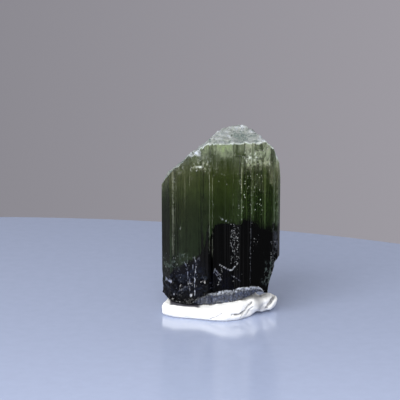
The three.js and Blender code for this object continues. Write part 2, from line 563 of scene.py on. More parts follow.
@dataclass(frozen=True)
class CrystalForm:
    """The crystal's grown and broken shape, in millimetres in the drawing frame."""

    corners: tuple[Point2, ...] = (
        *((-8.2, 0.9), (-7.05, -1.45), (-6.6, -1.55), (-6.3, -1.95), (-4.2, -2.85), (-1.75, -3.6)),
        *((-1.55, -3.95), (-1.25, -3.75), (-1.05, -4.1), (1.6, -4.35), (1.75, -4.2), (2.7, -4.4)),
        *((4.1, -4.45), (4.25, -4.15), (7.1, -3.35), (7.45, -2.55), (7.85, -2.35), (8.25, -0.6)),
        *((8.05, 1.1), (7.1, 2.3), (5.4, 4.7), (5.0, 4.75), (3.6, 6.6), (2.4, 7.1)),
        *((1.1, 6.85), (-1.6, 5.7), (-1.9, 5.3), (-5.0, 4.1), (-7.3, 2.6)),
    )
    top_cuts: tuple[Cut, ...] = (
        Cut((0.5, -4.2, 24.9), (-0.02, -0.07, 1.0)),
        Cut((2.3, 7.0, 25.62), (-0.34, 0.1, 1.0)),
        Cut((-2.6, -3.0, 24.3), (-0.818, 0.1625, 1.0)),
        Cut((-7.3, 1.0, 19.85), (-1.75, 0.05, 1.0)),
        Cut((6.2, -1.0, 24.5), (0.9, 0.1, 1.0)),
        Cut((7.15, -1.0, 23.45), (2.0, 0.2, 1.0)),
        Cut((7.95, -1.0, 21.9), (7.0, 0.5, 1.0)),
        Cut((2.6, 6.5, 25.6), (0.3, 1.5, 1.0)),
        Cut((5.0, 2.9, 25.1), (0.8, 0.3, 1.0)),
    )
    foot_cuts: tuple[Cut, ...] = (
        Cut((-3.1, 0.0, 1.6), (-0.105, 0.0, -1.0)),
        Cut((-3.1, 0.0, 1.6), (0.13, 0.0, -1.0)),
        Cut((3.8, 0.0, 3.12), (0.4, 0.0, -1.0)),
        Cut((-7.45, 0.0, 2.05), (-1.0, -0.1, -1.4)),
        Cut((1.5, 6.2, 2.6), (0.0, 1.0, -0.7)),
    )
    worn_peak: float = 25.6  # hills above this are worn down to half
    foot_limit: float = 3.68  # the foot's break runs level from here on
    shells: tuple[Shell, ...] = (
        Shell((-6.1, -3.9, 2.0), (1.7, 1.5, 1.7), 20, -25, 0.2, Bloom.SMEAR),
        Shell((-9.85, 0.2, 3.5), (1.9, 2.8, 2.3), 0, 12, 0.2, Bloom.SMEAR),
        Shell((9.35, -0.5, 3.2), (3.05, 9.0, 5.4), 0, 0, 0.15, Bloom.SMEAR, Bloom.FRINGE, level=True),
        Shell((8.55, -1.7, 7.3), (1.3, 2.6, 0.9), 25, 0, 0.4, Bloom.FRINGE),
        Shell((4.4, 7.6, 5.2), (2.2, 1.6, 3.1), 0, -30, 0.3, Bloom.SMEAR),
        Shell((-3.6, 6.3, 3.2), (1.7, 1.5, 2.3), 10, 25, 0.3, Bloom.SMEAR),
        Shell((-2.7, -4.3, 25.1), (1.35, 1.2, 1.3), 0, 15, 0.75, Bloom.FRESH),
        Shell((2.6, -4.9, 25.55), (0.95, 1.25, 1.15), 0, 0, 0.5, Bloom.ETCHED),
        Shell((5.4, -5.0, 25.4), (1.5, 1.2, 1.5), 0, -15, 0.5, Bloom.ETCHED),
        Shell((-5.6, -1.4, 22.6), (0.75, 1.3, 0.75), 45, 0, 0.4, Bloom.ETCHED),
        Shell((-0.6, -0.4, 27.0), (2.6, 2.4, 2.1), 0, 20, 0.45, Bloom.ETCH_RIDGE),
    )
    steps: tuple[Step, ...] = (
        Step(1.78, 3.15, 23.1, 27.0, -4.12),
        Step(4.6, 5.7, 23.7, 27.0, -3.82),
        Step(-3.9, -2.9, 22.9, 27.0, -2.98),
    )
    heel: Heel = Heel()
    zone_profile: tuple[Point2, ...] = (
        *((-8.0, 5.6), (-7.0, 6.3), (-6.2, 6.8), (-5.3, 7.5), (-4.0, 8.3), (-2.5, 9.3), (-1.75, 10.1)),
        *((-1.3, 12.2), (-0.8, 13.4), (0.6, 13.7), (2.7, 13.4), (3.2, 14.0), (4.1, 14.0), (4.6, 13.2)),
        (7.2, 12.3),
    )
    # spacing of mesh columns at the front and the rear and of the grid on the ends, and the number of rows
    stone_grid: tuple[float, float, float, int] = (0.085, 0.24, 0.14, 144)
    zone_grid: tuple[float, float, float, int] = (0.12, 0.3, 0.24, 56)
    row_crowding: float = 0.06  # how much closer the rows are at the ends
    rib_depth: float = 0.04

    def top(self, x: float, y: float) -> float:
        """Returns the uncarved top's height."""
        return min(cut.height(x, y) for cut in self.top_cuts)

    def foot(self, x: float, y: float) -> float:
        """Returns the uncarved foot's height."""
        return min(self.foot_limit, max(cut.height(x, y) for cut in self.foot_cuts))

    def etched_top(self, x: float, y: float) -> float:
        """Returns the top's height with its etch hills, pits and small ledges."""
        hills = 0.14 * grain(x * 0.5, y * 0.5, 3.0)
        big, small = self.etch_facets(x, y)
        height = self.top(x, y) + hills + 0.42 * big.rise + 0.16 * small.rise - 0.2
        return min(height, self.worn_peak + 0.5 * (height - self.worn_peak))

    def etch_facets(self, x: float, y: float) -> tuple[EtchFacet, EtchFacet]:
        """Returns the large and the small facet that the dissolved top shows at (x, y)."""
        return self.etch_facet(x, y, 0.7, 5.0), self.etch_facet(x, y, 2.0, 9.0)

    def etch_facet(self, x: float, y: float, per_mm: float, seed: float) -> EtchFacet:
        """Finds the small leaning facet that the dissolved top shows at (x, y).

        Args:
            x: the place's X.
            y: the place's Y.
            per_mm: how many facets there are to the millimetre.
            seed: tells one set of facets from another.

        Returns:
            The facet as it is at that place.
        """
        bend = 0.25 * grain(x * 0.9, y * 0.9, seed)
        spot = Vector((x * per_mm + bend, y * per_mm - bend, seed))
        gaps, middles = noise.voronoi(spot)
        lean = noise.cell_vector(middles[0] * 13.7)
        off = spot - middles[0]
        rise = 1.6 * (lean.x - 0.5) * off.x + 1.6 * (lean.y - 0.5) * off.y + 0.7 * (lean.z - 0.5)
        return EtchFacet(rise, fade(gaps[1] - gaps[0], 0.03, 0.2), lean.y)

    def broken_foot(self, x: float, y: float) -> float:
        """Returns the foot's height with the roughness of its break."""
        lift = clamp(self.foot(x, y) - 1.6, 0.2, 1.0)
        return self.foot(x, y) + 0.12 * lift * grain(x * 1.3, y * 1.3, 5.0) + 0.02

    def fracture(self, x: float, z: float) -> float:
        """Returns how deep the small breaks in the front's lower left are at a place."""
        share = fade(x, -2.2, -1.5) * fade(z, 6.6 + 0.3 * x, 8.4 + 0.3 * x)
        if share <= 0.0:
            return 0.0
        middle = -4.05 + 0.25 * grain(z * 0.5, 1.0, 75.0)
        groove = fade(abs(x - middle), 0.22, 0.42 + 0.2 * grain(z * 1.4, x, 76.0))
        chips = 0.36 * abs(grain(x * 0.8, z * 0.5, 71.0)) + 0.12 * abs(grain(x * 2.1, z * 1.2, 73.0))
        return share * (chips + 0.2 * groove)

    def zone_top(self, x: float, y: float) -> float:
        """Returns how high the black zone reaches over (x, y)."""
        climb = along_profile(self.zone_profile, x)
        rag = 0.2 * grain(x * 1.5, y * 0.5, 31.0) + 0.1 * grain(x * 5.0, y * 1.0, 37.0)
        rag += 0.7 * grain(x * 0.45, y * 0.45, 33.0, 2) * ease(y, -3.2, 0.0)
        return climb + rag - 0.24 * (y + 4.2)


@dataclass(frozen=True)
class Outline:
    """A closed outline with the nearest place, outward normal and distance for any point."""

    corners: tuple[Point2, ...]

    def locate(self, x: float, y: float) -> tuple[float, Vector, float]:
        """Finds the nearest place on the outline.

        Args:
            x: the point's X.
            y: the point's Y.

        Returns:
            The distance along the outline, the outward normal there and the distance from the outline.
        """
        best = (1e9, 0.0, Vector((0, -1)))
        girth = 0.0
        for (ax, ay), (bx, by) in zip(self.corners, self.corners[1:] + self.corners[:1]):
            dx, dy = bx - ax, by - ay
            length = math.hypot(dx, dy)
            t = clamp(((x - ax) * dx + (y - ay) * dy) / (length * length))
            gap = math.hypot(x - ax - t * dx, y - ay - t * dy)
            if gap < best[0]:
                best = (gap, girth + t * length, Vector((dy / length, -dx / length)))
            girth += length
        return best[1], best[2], best[0]


@dataclass
class PrismBuilder:
    """Builds a closed prism with gridded ends and close rows, ready to be shaped point by point."""

    outline: Outline
    front_pitch: float
    rear_pitch: float
    cap_pitch: float
    rows: int
    front_limit: float = 0.6  # the outline's edges in front of this Y get the front's spacing

    def build(self) -> BMesh:
        """Makes the prism between Z = 0 and Z = 1.

        Returns:
            The mesh, with its outline as given and its ends cut into a grid.
        """
        mesh = bmesh.new()
        ring = [mesh.verts.new((x, y, 0.0)) for x, y in self.outline.corners]
        mesh.faces.new(ring)
        for edge in list(mesh.edges):
            a, b = edge.verts
            facing = (b.co.y + a.co.y) / 2 < self.front_limit
            cuts = int(edge.calc_length() / (self.front_pitch if facing else self.rear_pitch))
            if cuts > 0:
                bmesh.ops.subdivide_edges(mesh, edges=[edge], cuts=cuts)
        low = Vector((min(v.co.x for v in mesh.verts), min(v.co.y for v in mesh.verts), 0))
        high = Vector((max(v.co.x for v in mesh.verts), max(v.co.y for v in mesh.verts), 0))
        for axis in (0, 1):
            normal = Vector((1, 0, 0)) if axis == 0 else Vector((0, 1, 0))
            count = int((high[axis] - low[axis]) / self.cap_pitch)
            for i in range(1, count):
                place = normal * (low[axis] + i * (high[axis] - low[axis]) / count)
                geometry = mesh.verts[:] + mesh.edges[:] + mesh.faces[:]
                bmesh.ops.bisect_plane(mesh, geom=geometry, dist=0.02, plane_co=place, plane_no=normal)
        raised = bmesh.ops.extrude_face_region(mesh, geom=mesh.faces[:], use_keep_orig=True)
        for item in raised["geom"]:
            if isinstance(item, BMVert):
                item.co.z = 1.0
        upright = [e for e in mesh.edges if abs(e.verts[0].co.z - e.verts[1].co.z) > 0.5]
        bmesh.ops.subdivide_edges(mesh, edges=upright, cuts=self.rows - 1, use_grid_fill=True)
        bmesh.ops.recalc_face_normals(mesh, faces=mesh.faces[:])
        return mesh


@dataclass(frozen=True)
class Tourmaline:
    """Green tourmaline: glassy and see-through, grown faces with fine lengthways ribs, whitened where broken.

    The eye gets a bottle green that deepens with thickness, thin bright ribs and a frosted, pale top.
    """

    index: float = 1.63
    absorb_colour: tuple[float, float, float] = (0.36, 0.5, 0.06)  # share of each colour let by
    absorb_density: float = 270.0  # per metre

    def build(self) -> Material:
        """Returns the finished material."""
        material, graph = new_material("tourmaline_green")
        # etch grain, 0.15 to 0.5 mm, breaks the whitening up
        etch = graph.noise(graph.place(), 3.2, 5.0, 0.65)
        gain = graph.ramp(etch, (0.32, 0.68), (0.55, 1.4))
        # the whitening strength also carries painted highlights, a painted reflection and a painted shadow
        whitened = graph.maths("MULTIPLY", graph.attribute("frost_and_painted_light"), gain, clamped=True)
        # bright specks about 0.1 mm across, more of them where sparkle is high, some bright and some dull
        fleck = graph.add("ShaderNodeTexVoronoi", Vector=graph.place(0.6), Scale=8.5)
        lot = graph.add("ShaderNodeSeparateColor", Color=fleck.outputs["Color"]).outputs
        chosen = graph.maths("GREATER_THAN", graph.attribute("sparkle"), lot[0])
        dot = graph.ramp(fleck.outputs["Distance"], (0.2, 0.55), (1.0, 0.0))
        bright = graph.maths("MULTIPLY", dot, graph.maths("POWER", lot[1], 2.0))
        specks = graph.maths("MULTIPLY", bright, chosen)
        colour = graph.mix(whitened, graph.attribute("ground", "Color"), graph.attribute("bloom", "Color"))
        colour = graph.mix(specks, colour, from_hex(Bloom.GLINT.value))
        # a little whitening already dulls the gloss, and a lot turns the face opaque
        cloudy = graph.maths("MAXIMUM", whitened, specks)
        dull = graph.ramp(cloudy, (0.0, 0.5), (0.07, 0.5))
        # ribs run up the faces: 0.25 to 0.5 mm apart, 15 times longer than wide
        ribs = graph.bump(graph.noise(graph.place(0.06), 2.4, 4.0, 0.6), 0.2, 0.05)
        stone = graph.add(
            "ShaderNodeBsdfPrincipled",
            Base_Color=colour,
            Roughness=graph.maths("MAXIMUM", dull, graph.attribute("satin")),
            IOR=self.index,
            Transmission_Weight=graph.ramp(cloudy, (0.0, 1.0), (1.0, 0.2)),
            Normal=graph.bump(graph.maths("MULTIPLY", etch, cloudy), 0.8, 0.12, Normal=ribs),
        )
        let_by = (*self.absorb_colour, 1.0)
        depth = graph.add("ShaderNodeVolumeAbsorption", Color=let_by, Density=self.absorb_density)
        graph.finish(stone)
        graph.finish(depth, "Volume")
        return material


@dataclass(frozen=True)
class BlackZone:
    """The iron-rich black foot of the crystal: opaque, with a dull grain inside the glassy skin."""

    deep: str = "#07080A"
    edge: str = "#12141A"

    def build(self) -> Material:
        """Returns the finished material."""
        material, graph = new_material("tourmaline_black")
        streaks = graph.noise(graph.place(0.2), 1.6, 4.0, 0.6)
        colour = graph.mix(streaks, from_hex(self.deep), from_hex(self.edge))
        looks = {"Base_Color": colour, "Roughness": 0.7, "Specular_IOR_Level": 0.1}
        graph.finish(graph.add("ShaderNodeBsdfPrincipled", **looks))
        return material


@dataclass(frozen=True)
class MountingPutty:
    """White mounting putty: dense, matt and slightly waxy, pressed by hand, with some dull dust and painted
    shade.
    """

    white: str = "#FAFAF7"
    # the colour of the painted shade and of the dust
    shade_and_dust: str = "#56555D"

    def build(self) -> Material:
        """Returns the finished material."""
        material, graph = new_material("putty_white")
        in_mm = graph.place()
        dust = graph.ramp(graph.noise(in_mm, 0.9, 4.0, 0.6), (0.55, 0.85), (0.0, 0.12))
        # painted shade from the mesh, plus a little dust
        dust_and_shade = graph.maths("ADD", graph.attribute("painted_shade"), dust, clamped=True)
        colour = graph.mix(dust_and_shade, from_hex(self.white), from_hex(self.shade_and_dust))
        dents = graph.bump(graph.noise(in_mm, 1.7, 5.0, 0.55), 0.3, 0.1)
        graph.finish(graph.add("ShaderNodeBsdfPrincipled", Base_Color=colour, Roughness=0.55, Normal=dents))
        return material


@dataclass
class Spot:
    """What is known of one point of the crystal's surface once it is in place."""

    place: Vector
    side: Side
    girth: float  # distance along the outline
    inward: float  # distance in from the outline
    below_lip: float  # how far under the top's edge
    breaks: list[tuple[Shell, float]]  # the breaks it is in, and how deep in each


@dataclass(frozen=True)
class Whitening:
    """Everything that whitens, specks or tints the crystal's faces, painted highlights, shadow and reflection
    included.
    """

    front: tuple[GrowthLine | Scratch | Patch, ...] = (
        # growth edges: pale lines painted as highlights, an olive streak, and bruised cracks with painted
        # glints low at the left
        GrowthLine(-7.5, 0.08, 9.33, 14.22, 0.14, 0.6),
        GrowthLine(-6.58, 0.24, 8.54, 20.39, 0.42, 0.35),
        GrowthLine(-6.5, 0.08, 9.33, 20.49, 0.45, 0.9),
        GrowthLine(-6.18, 0.06, 12.26, 19.71, 0.3, 0.4),
        GrowthLine(-4.93, 0.16, 15.2, 20.49, 0.16, 0.5, Bloom.STREAK),
        GrowthLine(-4.24, 0.06, 18.6, 20.7, 0.35, 0.4),
        GrowthLine(-5.5, 0.06, 10.89, 13.05, 0.5, 1.0),
        GrowthLine(-1.56, 0.065, 9.62, 21.08, 0.62, 0.65),
        GrowthLine(-1.16, 0.08, 8.74, 20.1, 0.45, 0.65),
        GrowthLine(-0.65, 0.07, 20.69, 23.04, 0.35, 1.0),
        GrowthLine(1.67, 0.06, 13.83, 20.69, 0.26, 1.2),
        GrowthLine(2.8, 0.06, 14.03, 21.86, 0.5, 0.75),
        GrowthLine(4.2, 0.06, 14.22, 20.49, 0.4, 1.2),
        GrowthLine(4.07, 0.055, 5.31, 14.42, 0.42, 0.55, Bloom.BRUISE_AND_GLINT),
        GrowthLine(7.36, 0.08, 13.05, 22.06, 0.42, 1.0),
        GrowthLine(7.8, 0.3, 13.05, 21.66, 0.16, 0.7),
        GrowthLine(6.55, 0.1, 20.6, 23.6, 0.6, 0.8, Bloom.LIP),
        GrowthLine(7.6, 0.14, 21.4, 23.2, 0.8, 0.9, Bloom.LIP),
        GrowthLine(7.2, 0.06, 6.0, 12.75, 0.3, 0.7, Bloom.BRUISE_AND_GLINT),
        GrowthLine(-4.78, 0.065, 4.82, 8.05, 0.5, 1.2, Bloom.BRUISE_AND_GLINT),
        GrowthLine(-4.52, 0.065, 3.84, 7.17, 0.5, 1.2, Bloom.BRUISE_AND_GLINT),
        GrowthLine(-3.82, 0.065, 5.41, 8.74, 0.6, 1.2, Bloom.BRUISE_AND_GLINT),
        GrowthLine(-3.62, 0.07, 4.04, 7.96, 0.6, 1.2, Bloom.BRUISE_AND_GLINT),
        GrowthLine(-3.4, 0.065, 5.61, 7.76, 0.7, 1.2, Bloom.BRUISE_AND_GLINT),
        GrowthLine(-3.15, 0.06, 6.58, 9.13, 0.4, 1.2, Bloom.BRUISE_AND_GLINT),
        # scratches and cracks in the black zone
        Scratch(((-0.3, 14.57), (0.3, 14.17), (1.05, 13.85)), 0.06, 0.6),
        Scratch(
            ((-0.25, 7.91), (0.2, 7.61), (0.75, 7.32), (1.3, 7.09), (1.75, 7.27), (2.05, 7.71)),
            *(0.06, 1.0, Bloom.HEEL_RIM, 0.4),
        ),
        Scratch(((-0.95, 6.68), (-0.75, 7.27), (-0.45, 6.78), (-0.15, 6.29), (-0.02, 5.51)), 0.06, 0.7),
        Scratch(((-0.7, 6.58), (-0.45, 6.1), (-0.2, 5.61)), 0.08, 0.5),
        Scratch(
            ((-4.95, 7.86), (-4.7, 7.07), (-4.5, 6.0), (-4.32, 5.02), (-4.24, 2.95)),
            *(0.055, 0.7, Bloom.BRUISE_AND_GLINT, 3.0),
        ),
        Scratch(
            ((-3.7, 8.64), (-3.25, 7.66), (-3.5, 6.88), (-3.62, 6.0), (-3.58, 3.1)),
            *(0.06, 0.85, Bloom.HEEL_RIM, 3.0),
        ),
        Scratch(((-5.9, 5.85), (-5.25, 6.0)), 0.07, 0.4),
        Scratch(((-5.85, 6.54), (-5.05, 6.58)), 0.07, 0.3),
        Scratch(((-5.75, 3.55), (-5.2, 3.84), (-4.75, 4.28)), 0.12, 0.55, Bloom.SMEAR),
        Scratch(((-5.6, 12.61), (-5.62, 12.26)), 0.07, 0.5),
        Scratch(((1.45, 6.49), (1.9, 6.05), (2.7, 5.61)), 0.07, 0.3),
        # the pale band under the top
        Patch(0.4, 23.82, 1.5, 1.5, 0.68, Bloom.VEILED, 1.6, 0.5, 0.8, 0.3, 0.9),
        Patch(4.9, 22.75, 2.2, 2.0, 0.48, Bloom.VEILED, 2.9, 1.1, 0.5, 0.35, 0.75),
        Patch(6.9, 20.2, 0.45, 1.9, 0.14, Bloom.VEILED, 1.8, 0.8, 0.6, 0.3, 0.6),
        Patch(5.2, 19.4, 2.3, 2.9, 0.025, Bloom.VEILED, 0.8, 0.3, 0.85, 0.3, 0.8),
        Patch(3.95, 22.79, 0.9, 0.85, 0.8, Bloom.LIP, 3.6, 1.9, 0.1, 0.4),
        Patch(6.3, 22.94, 0.28, 1.5, 0.5, Bloom.VEILED, 1.6, 0.8, 0.7, 0.3),
        Patch(-2.1, 23.13, 1.1, 1.2, 0.36, Bloom.ETCHED, 1.2, 0.7, 0.6, 0.3, 0.5),
        Patch(-2.6, 21.86, 1.6, 1.2, 0.5, Bloom.RIB, 3.6, 1.7, 0.25, 0.5, 0.6),
        Patch(-3.0, 21.32, 0.5, 0.16, 0.9, Bloom.LIP, 2.0, 0.6, 0.8, 0.3),
        Patch(-3.8, 23.62, 1.05, 1.0, 0.95, Bloom.FRESH, 1.6, 0.35, 0.95, 0.25),
        Patch(-5.9, 20.98, 1.7, 1.2, 0.3, Bloom.ETCHED, 3.2, 1.5, 0.35, 0.5, 0.6),
        Patch(-5.4, 22.25, 0.9, 0.7, 0.45, Bloom.ETCHED, 3.4, 1.6, 0.4, 0.5, 0.6),
        # where green turns black, at the left
        Patch(-6.9, 7.17, 1.4, 0.8, 0.4, Bloom.FRINGE, 3.6, 1.6, 0.3, 0.5, 0.6),
        Patch(-5.0, 8.25, 1.3, 1.0, 0.36, Bloom.FRINGE, 3.8, 1.8, 0.2, 0.5, 0.6),
        Patch(-7.5, 6.9, 0.7, 0.35, 0.5, Bloom.FRINGE, 2.0, 0.8, 0.7, 0.4, 0.5),
        # painted glints at the lower left
        Patch(-7.25, 4.75, 0.5, 0.32, 1.0, Bloom.BRUISE_AND_GLINT, 2.6, 1.8, 0.35, 0.5),
        Patch(-6.5, 2.9, 0.12, 0.16, 0.9, Bloom.HEEL_RIM, 1.0, 0.2, 0.9),
        Patch(-4.1, 2.95, 0.14, 0.22, 0.9, Bloom.HEEL_RIM, 1.0, 0.2, 0.9),
        Patch(-3.5, 8.25, 0.7, 0.45, 0.3, Bloom.SMEAR, 3.4, 2.0, 0.0, 0.5),
        Patch(-5.2, 4.04, 1.4, 1.2, 0.1, Bloom.SMEAR, 1.5, 1.5, 0.3, 0.5),
        # painted reflection: a bluish sheen over the black zone
        Patch(-4.8, 5.21, 3.7, 3.4, 0.1, Bloom.PAINTED_SHEEN, 0.9, 0.3, 0.85, 0.4, 0.5),
        Patch(0.5, 5.02, 2.6, 2.6, 0.08, Bloom.PAINTED_SHEEN, 0.9, 0.5, 0.8, 0.4, 0.5),
        Patch(-1.3, 4.72, 0.5, 0.5, 0.3, Bloom.SMEAR, 1.4, 1.2, 0.3, 0.5),
        Patch(7.1, 7.07, 0.5, 1.4, 0.6, Bloom.FRINGE, 3.6, 1.8, 0.25, 0.5),
        Patch(6.5, 6.39, 0.5, 2.4, 0.5, Bloom.FRINGE, 4.2, 1.9, 0.1, 0.5),
        Patch(7.55, 10.5, 0.4, 1.9, 0.5, Bloom.SMEAR, 1.4, 1.2, 0.45, 0.4),
        Patch(6.2, 5.31, 0.9, 0.5, 0.3, Bloom.FRINGE, 4.2, 1.8, 0.15, 0.5),
    )
    front_sparkle: tuple[GrowthLine | Patch, ...] = (
        GrowthLine(-6.5, 0.25, 8.93, 20.39, 0.3, 0.5),
        GrowthLine(-1.55, 0.16, 8.93, 20.1, 0.5, 0.6),
        GrowthLine(-1.15, 0.2, 8.54, 19.12, 0.4, 0.7),
        GrowthLine(2.8, 0.14, 13.83, 22.06, 0.5, 0.4),
        GrowthLine(4.2, 0.24, 14.03, 21.66, 0.6, 0.3),
        GrowthLine(4.07, 0.1, 5.41, 14.22, 0.4, 0.5),
        GrowthLine(7.3, 0.22, 12.26, 22.84, 0.6, 0.3),
        GrowthLine(-0.62, 0.1, 20.69, 23.23, 0.8, 0.3),
        Patch(1.85, 10.6, 0.62, 3.2, 1.0, Bloom.GLINT, 1.0, 0.3, 0.95, 0.2, 0.5),
        Patch(4.0, 18.0, 2.4, 3.6, 0.16, Bloom.GLINT, 1.0, 0.6, 0.7, 0.3, 0.6),
        Patch(-0.5, 20.6, 1.6, 2.0, 0.14, Bloom.GLINT, 1.0, 0.6, 0.7, 0.3, 0.6),
        Patch(4.85, 10.89, 0.4, 1.2, 0.45, Bloom.GLINT, 1.0, 0.4, 0.8, 0.2),
        Patch(4.6, 22.94, 2.6, 1.3, 0.45, Bloom.GLINT, 1.0, 0.6, 0.7, 0.3),
        Patch(-2.6, 21.86, 1.9, 1.3, 0.4, Bloom.GLINT, 1.0, 0.6, 0.7, 0.3),
        Patch(-5.9, 7.56, 2.2, 1.5, 0.2, Bloom.GLINT, 1.0, 0.8, 0.6, 0.3),
        Patch(-4.0, 6.0, 0.9, 2.8, 0.2, Bloom.GLINT, 1.0, 0.8, 0.6, 0.3),
        Patch(-6.4, 4.82, 1.2, 1.5, 0.06, Bloom.GLINT, 1.0, 0.8, 0.6, 0.3),
        Patch(-0.35, 6.1, 0.6, 1.1, 0.5, Bloom.GLINT, 1.0, 0.8, 0.7, 0.3),
        Patch(2.3, 6.19, 0.8, 0.6, 0.35, Bloom.GLINT, 1.0, 0.8, 0.7, 0.3),
        Patch(7.2, 7.86, 0.6, 3.6, 0.45, Bloom.GLINT, 1.0, 0.8, 0.6, 0.3),
    )
    front_windows: tuple[Patch, ...] = (  # where the pale band is missing and the clear stone shows
        Patch(2.6, 23.8, 0.68, 1.1, 0.85, Bloom.VEILED, 0.8, 0.2, 0.95, 0.05, 0.1),
        Patch(-6.4, 19.0, 1.8, 1.6, 0.4, Bloom.VEILED, 0.8, 0.2, 0.95, 0.3, 0.5),
        Patch(5.1, 24.2, 0.65, 0.6, 0.75, Bloom.VEILED, 0.8, 0.2, 0.95, 0.1, 0.2),
        Patch(7.1, 23.2, 0.4, 1.6, 0.75, Bloom.VEILED, 0.8, 0.2, 0.95, 0.1, 0.3),
    )

    def front_blooms(self, x: float, z: float, below: float) -> Blooms:
        """Lists what whitens the front at a place.

        Args:
            x: where across the front.
            z: how high.
            below: how far under the top's lip.

        Returns:
            Strength and kind of each.
        """
        # the lip: crushed stone and a painted edge highlight
        lip_band_width = 0.16 + 0.1 * grain(x * 1.1, 0.0, 15.0)
        found = [(lip_crush_and_highlight(x) * fade(below, 0.3 * lip_band_width, 1.3 * lip_band_width), Bloom.LIP)]
        window = max(patch.nearness(x, z) for patch in self.front_windows)
        streaks = clamp(0.75 + 0.9 * grain(x * 3.0, z * 0.3, 61.0))
        veil = 0.44 * fade(below, 0.3, 2.4) + 0.12 * fade(below, 1.5, 5.0)
        veil *= 0.35 + 0.65 * ease(x, -5.0, -1.5)
        found.append((veil * streaks * (1.0 - window), Bloom.VEILED if x > -4.4 else Bloom.ETCHED))
        for mark in self.front:
            strength = mark.nearness(x, z)
            if strength > 0.02:
                kept = 1.0 - window if mark.bloom is Bloom.VEILED else 1.0
                found.append((strength * kept, mark.bloom))
        return found

    def rear_blooms(self, girth: float, z: float, below: float) -> Blooms:
        """Lists what whitens the rear at a place.

        Args:
            girth: where along the outline.
            z: how high.
            below: how far under the top's lip.

        Returns:
            Strength and kind of each.
        """
        # the lip: crushed stone and a painted edge highlight
        lip_band_width = 0.18 + 0.12 * grain(girth * 1.1, 0.0, 15.0)
        streaks = clamp(0.7 + 0.9 * grain(girth * 2.4, z * 0.12, 19.0))
        found = [(fade(below, 0.3 * lip_band_width, 1.3 * lip_band_width), Bloom.LIP), (0.14 * streaks, Bloom.STREAK)]
        mottle = clamp(0.4 + 1.5 * grain(girth * 1.4, z * 1.0, 23.0, 4))
        found.append((0.55 * mottle * fade(below, 0.3, 2.6), Bloom.VEILED))
        # pale lines along the rear's growth edges, painted as highlights
        line = grain(girth * 3.1, z * 0.03, 27.0, 2)
        crisp = ease(line, 0.42, 0.6) * clamp(0.5 + 1.4 * grain(girth * 2.0, z * 0.9, 29.0))
        found.append((0.6 * crisp, Bloom.RIB))
        return found

    def sparkle(self, spot: Spot, form: CrystalForm) -> float:
        """Returns how thickly the surface is sown with bright specks at a spot."""
        if spot.side is Side.FRONT and form.heel.inset(spot.place, spot.inward, 0.0) > 0.0:
            return 0.4
        if spot.side is Side.FRONT:
            return max(mark.nearness(spot.place.x, spot.place.z) for mark in self.front_sparkle)
        if spot.side is Side.REAR:
            return clamp(0.9 * grain(spot.girth * 1.6, spot.place.z * 0.2, 47.0) - 0.12)
        return 0.3 if spot.side is Side.TOP else 0.15

    def blooms(self, spot: Spot, form: CrystalForm) -> Blooms:
        """Lists what whitens the crystal at a spot.

        Args:
            spot: the spot.
            form: the crystal's shape.

        Returns:
            Strength and kind of each.
        """
        x, y, z = spot.place
        found = [bloom for shell, depth in spot.breaks for bloom in shell.blooms(spot.place, depth)]
        if spot.side is Side.TOP:
            big, small = form.etch_facets(x, y)
            glassy = fade(abs(x - 3.4), 1.2, 2.4) * fade(abs(y + 1.0), 2.0, 3.6)
            glassy = max(0.5 * glassy, 0.4 * fade(x, -5.2, -4.0))
            uneven = 0.8 * grain(x * 0.8, y * 0.8, 17.0, 4)
            cloud = clamp(0.55 * big.cloud + 0.5 * small.cloud + uneven - glassy)
            found.append((0.5 + 0.25 * cloud, Bloom.ETCHED))
            found.append((0.9 * (1.0 - cloud), Bloom.ETCH_HOLLOW))
            # the crests: crushed stone and painted highlights
            found.append((1.0 * max(big.crest, 0.8 * small.crest) * cloud, Bloom.ETCH_RIDGE))
            # the lip: crushed stone and a painted edge highlight
            found.append((lip_crush_and_highlight(x) * fade(spot.inward, 0.08, 0.3), Bloom.LIP))
        elif spot.side is Side.FOOT:
            found.append((0.22, Bloom.SMEAR))
        elif spot.side is Side.FRONT:
            broken = form.heel.blooms(spot.place, z - form.broken_foot(x, y))
            found.extend(broken or self.front_blooms(x, z, spot.below_lip))
        else:
            found.extend(self.rear_blooms(spot.girth, z, spot.below_lip))
        return found

    def ground(self, spot: Spot, form: CrystalForm) -> Vector:
        """Returns the clear stone's own tint at a spot, as linear colour."""
        z = spot.place.z
        stops = ((23.0, Ground.CROWN), (20.0, Ground.OLIVE), (15.5, Ground.BOTTLE), (10.0, Ground.DEEP))
        tint = tint_of(stops[0][1])
        for (high, _), (low, below) in zip(stops, stops[1:]):
            tint = tint.lerp(tint_of(below), fade(z, low, high))
        tint *= 1.0 + 0.3 * grain(spot.girth * 1.3, z * 0.8, 81.0, 4)
        right = ease(spot.place.x, 1.0, 3.2)
        if spot.side is Side.FRONT:
            deep = 0.3 * fade(z, 15.0, 19.0) + 0.08 * fade(spot.place.x, -3.5, -1.5)
            tint *= 0.52 - deep + (0.48 + deep) * right
            tint.x *= 1.0 - 0.14 * fade(z, 15.0, 20.0) * ease(spot.place.x, -5.5, -3.0)
            tint *= 1.0 + 0.7 * fade(spot.place.x, -7.4, -6.9)
        elif spot.side is Side.TOP:
            tint = tint.lerp(Vector((1.0, 1.0, 1.0)), 0.7)
        elif spot.side is Side.REAR:
            tint = tint.lerp(Vector((1.0, 1.0, 1.0)), 0.45 * right + 0.35 * ease(spot.place.x, 3.0, 5.0))
        above = z - form.zone_top(spot.place.x, spot.place.y)
        softness = 0.4 + 1.5 * ease(spot.place.x, 1.0, 5.0)
        tint = tint.lerp(tint_of(Ground.BLACK), fade(above, -0.15, softness))
        return Vector(min(1.0, channel) for channel in tint)


def lip_crush_and_highlight(x: float) -> float:
    """Returns how strongly the top's edge is whitened, crushed and painted as a highlight; less at the left.
    """
    return 0.25 + 0.75 * ease(x, -5.2, -4.2)


def tint_of(kind: Bloom | Ground) -> Vector:
    """Returns a named tint as linear colour."""
    return Vector(from_hex(kind.value)[:3])


